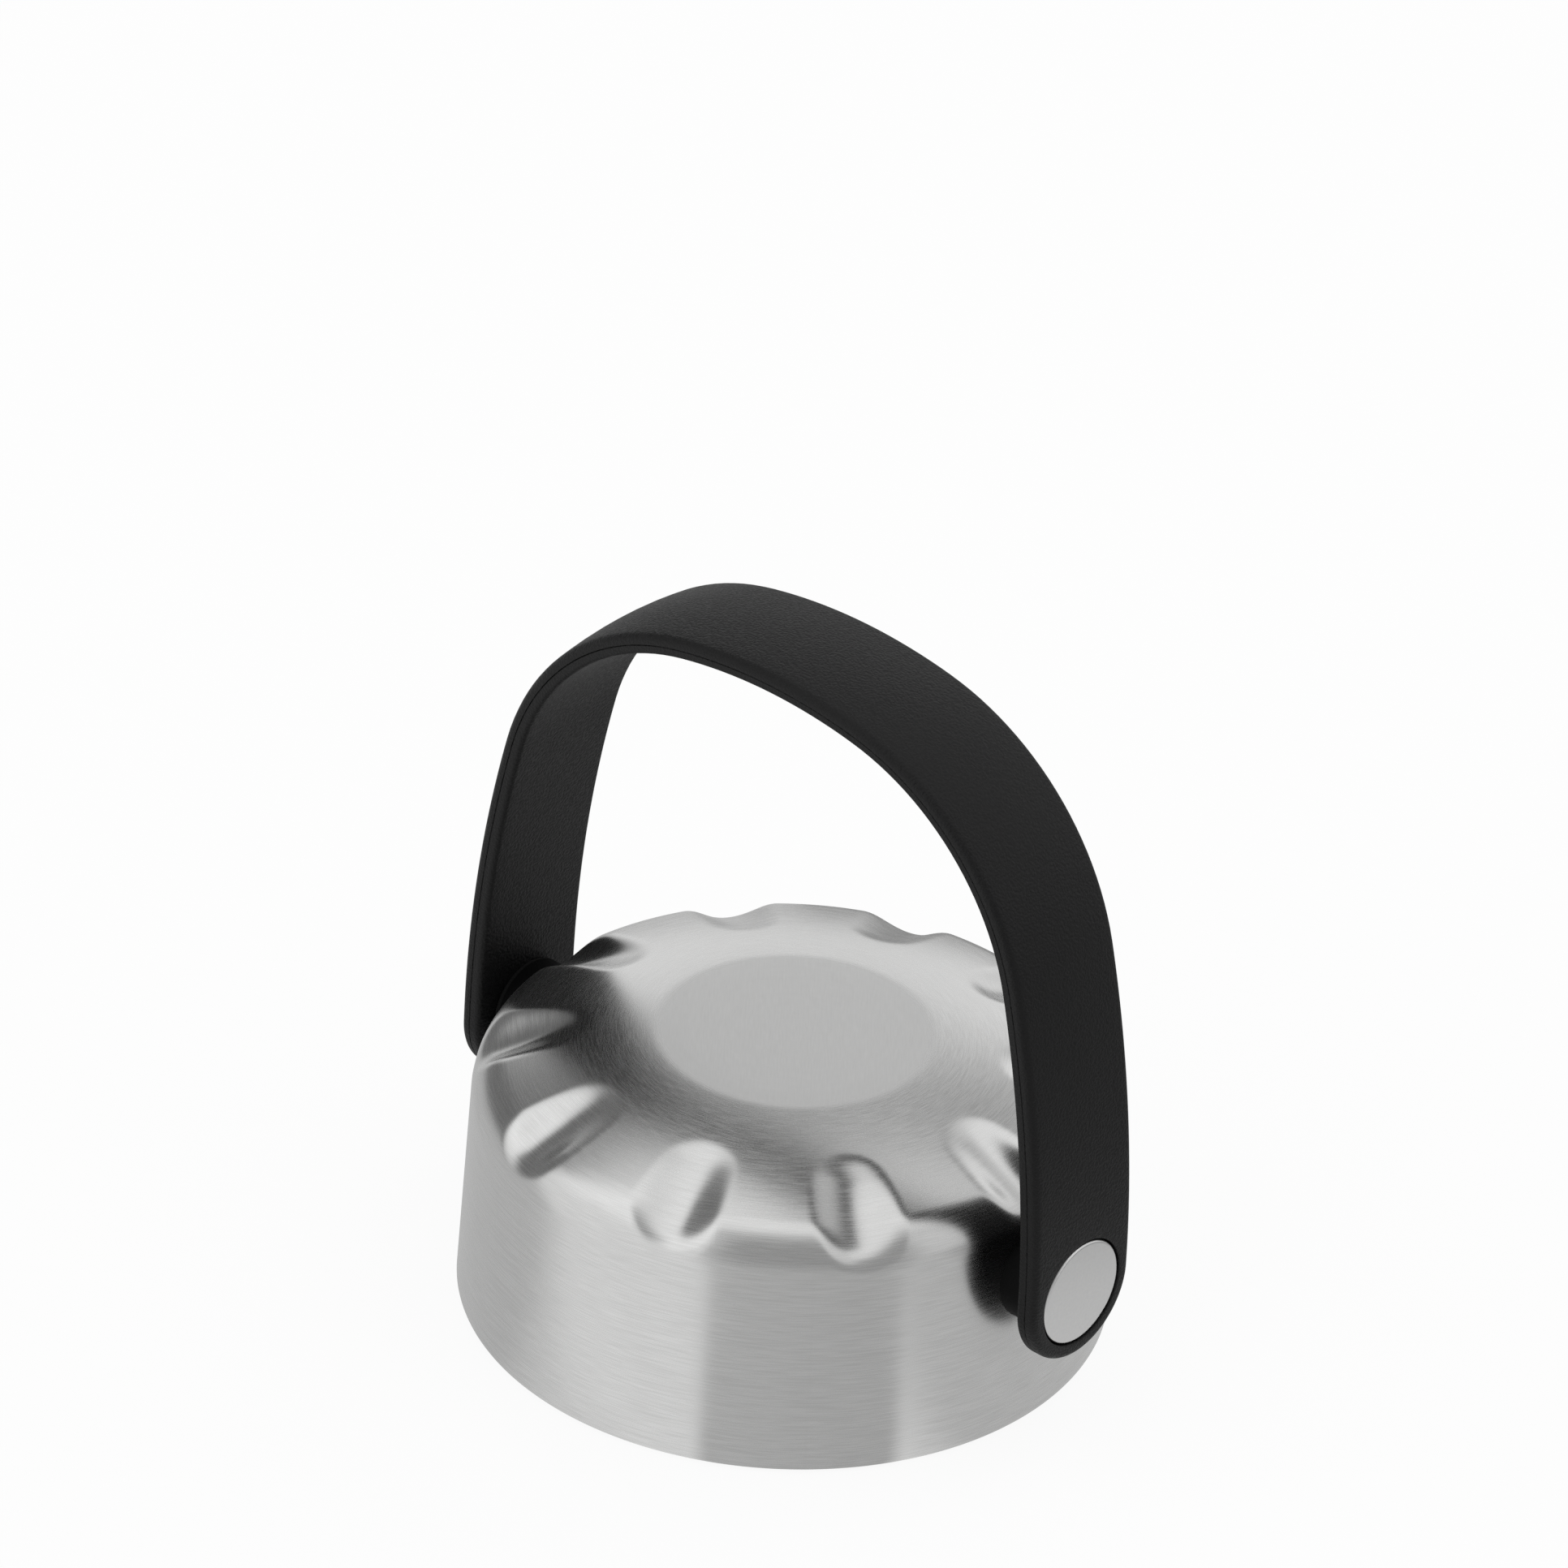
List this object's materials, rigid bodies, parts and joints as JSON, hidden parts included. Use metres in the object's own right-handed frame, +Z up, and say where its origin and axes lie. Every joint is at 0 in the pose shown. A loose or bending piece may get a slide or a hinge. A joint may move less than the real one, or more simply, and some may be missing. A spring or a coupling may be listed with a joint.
{
  "type": "bottle lid",
  "caption": "Fluted steel screw lid for a drinking bottle, with a swinging strap handle on side pivots and a moulded threaded liner.",
  "frame": {"origin": "centre of the rolled rim's underside, on the surface the lid stands on", "axes": "+Z up through the cap's middle, +X along the handle's pivot axis, +Y across the strap's width"},
  "size_m": [0.0676, 0.0582, 0.0671],
  "materials": {
    "brushed_steel": "brushed round the cap",
    "liner_plastic": "satin moulded",
    "gasket_silicone": "soft matte",
    "strap_plastic": "fine grained matte",
    "post_steel": "satin",
    "washer_plastic": "smooth",
    "saddle_plastic": "matte moulded",
    "plate_steel": "plain stamped",
    "screw_steel": "plain"
  },
  "bodies": {
    "lid": {"outer_shell": "brushed_steel", "inner_liner": "liner_plastic", "sealing_gasket": "gasket_silicone", "pivot_post_right": "post_steel", "friction_washer_right": "washer_plastic", "pivot_saddle_right": "saddle_plastic", "backing_plate_right": "plate_steel", "post_screw_right": "screw_steel", "pivot_post_left": "post_steel", "friction_washer_left": "washer_plastic", "pivot_saddle_left": "saddle_plastic", "backing_plate_left": "plate_steel", "post_screw_left": "screw_steel"},
    "handle": {"strap_handle": "strap_plastic"}
  },
  "joints": [
    {"name": "handle_swing", "type": "hinge", "parent": "lid", "child": "handle", "pos_m": [0, 0, 0.01545], "axis": [1, 0, 0], "range_deg": [-95, 95]}
  ]
}
